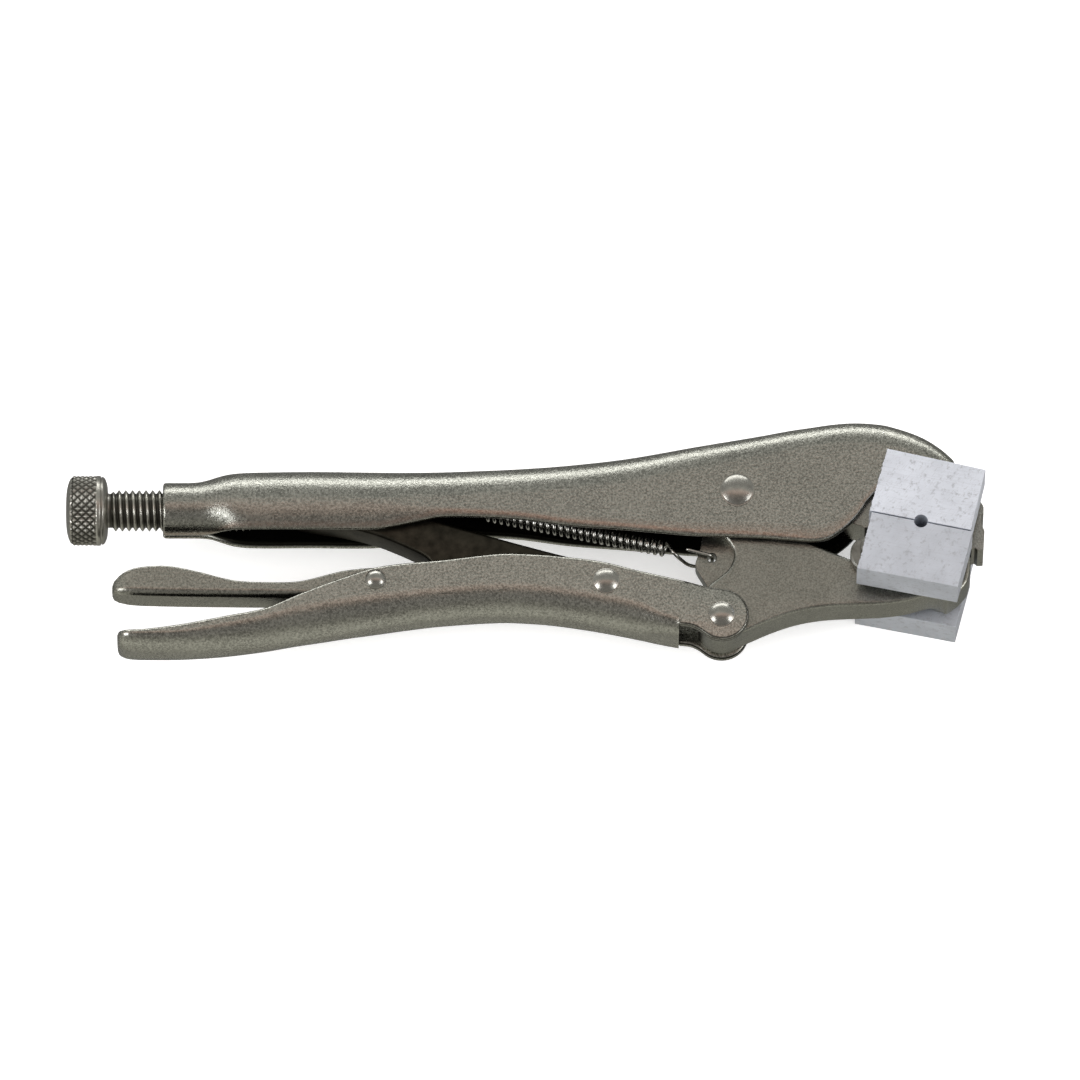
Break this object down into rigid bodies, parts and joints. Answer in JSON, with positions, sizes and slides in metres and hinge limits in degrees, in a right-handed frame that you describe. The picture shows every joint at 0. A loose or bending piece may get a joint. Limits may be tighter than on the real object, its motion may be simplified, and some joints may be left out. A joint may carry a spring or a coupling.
{
  "type": "locking pliers",
  "caption": "Locking pliers with sheet steel handles, toggle link, release lever, adjusting screw and aluminium jaw blocks that grip a small rod.",
  "frame": {"origin": "centre of the tool's length and width, on the plane of the far blocks' outer faces", "axes": "+X along the tool from the knob to the jaws, +Y across it from the lower handle to the upper handle, +Z along the pivots from the far side to the near side"},
  "size_m": [0.248, 0.0654, 0.0445],
  "materials": {
    "handle_nickel": "satin nickel plate over pressed steel, fine orange-peel grain",
    "lever_nickel": "satin nickel plate, slightly coppery along the bends",
    "release_nickel": "satin nickel plate",
    "jaw_steel": "nickel plated forged steel, roughly ground",
    "rivet_steel": "smooth satin domes",
    "block_aluminium": "pale, as sawn and lightly scratched",
    "spacer_steel": "turned steel",
    "spring_steel": "bright drawn wire",
    "link_steel": "dark stamped steel",
    "screw_steel": "bright nickel plate"
  },
  "bodies": {
    "upper_handle_assembly": {"upper_handle": "handle_nickel", "upper_jaw": "jaw_steel", "jaw_pivot_rivet": "rivet_steel", "upper_block_near": "block_aluminium", "upper_block_far": "block_aluminium", "upper_spacers": "spacer_steel", "upper_dowels": "spacer_steel", "tension_spring": "spring_steel"},
    "lower_jaw_assembly": {"lower_jaw": "jaw_steel", "lower_block_near": "block_aluminium", "lower_block_far": "block_aluminium", "lower_spacers": "spacer_steel", "lower_dowels": "spacer_steel"},
    "lower_handle_assembly": {"lower_handle": "lever_nickel", "jaw_lever_rivet": "rivet_steel", "link_rivet": "rivet_steel", "release_rivet": "rivet_steel"},
    "link": {"toggle_link": "link_steel"},
    "release": {"release_lever": "release_nickel"},
    "screw_end": {"screw_point": "screw_steel"},
    "screw": {"adjusting_screw": "screw_steel"}
  },
  "joints": [
    {"name": "jaw_hinge", "type": "hinge", "parent": "upper_handle_assembly", "child": "lower_jaw_assembly", "pos_m": [0.0572, 0.01162, 0.02225], "axis": [0, 0, -1], "range_deg": [0, 16], "deforming": ["tension_spring"]},
    {"name": "lever_hinge", "type": "hinge", "parent": "lower_jaw_assembly", "child": "lower_handle_assembly", "pos_m": [0.053, -0.02388, 0.02225], "axis": [0, 0, 1], "range_deg": [0, 56.2]},
    {"name": "link_hinge", "type": "hinge", "parent": "lower_handle_assembly", "child": "link", "pos_m": [0.0218, -0.01439, 0.02225], "axis": [0, 0, -1], "range_deg": [0, 54.7]},
    {"name": "release_hinge", "type": "hinge", "parent": "lower_handle_assembly", "child": "release", "pos_m": [-0.0403, -0.01398, 0.02225], "axis": [0, 0, 1], "range_deg": [0, 6]},
    {"name": "screw_travel", "type": "slide", "parent": "upper_handle_assembly", "child": "screw_end", "axis": [-1, 0, 0], "range_m": [0, 0.01814]},
    {"name": "screw_turn", "type": "hinge", "parent": "screw_end", "child": "screw", "pos_m": [-0.119, 0.00891, 0.02225], "axis": [-1, 0, 0], "range_deg": [0, 3602]}
  ],
  "couplings": [
    {"joint": "lever_hinge", "follows": "jaw_hinge", "ratio": 3.4916},
    {"joint": "link_hinge", "follows": "jaw_hinge", "ratio": 3.4009},
    {"joint": "screw_turn", "follows": "screw_travel", "rad_per_m": 3463.7}
  ]
}
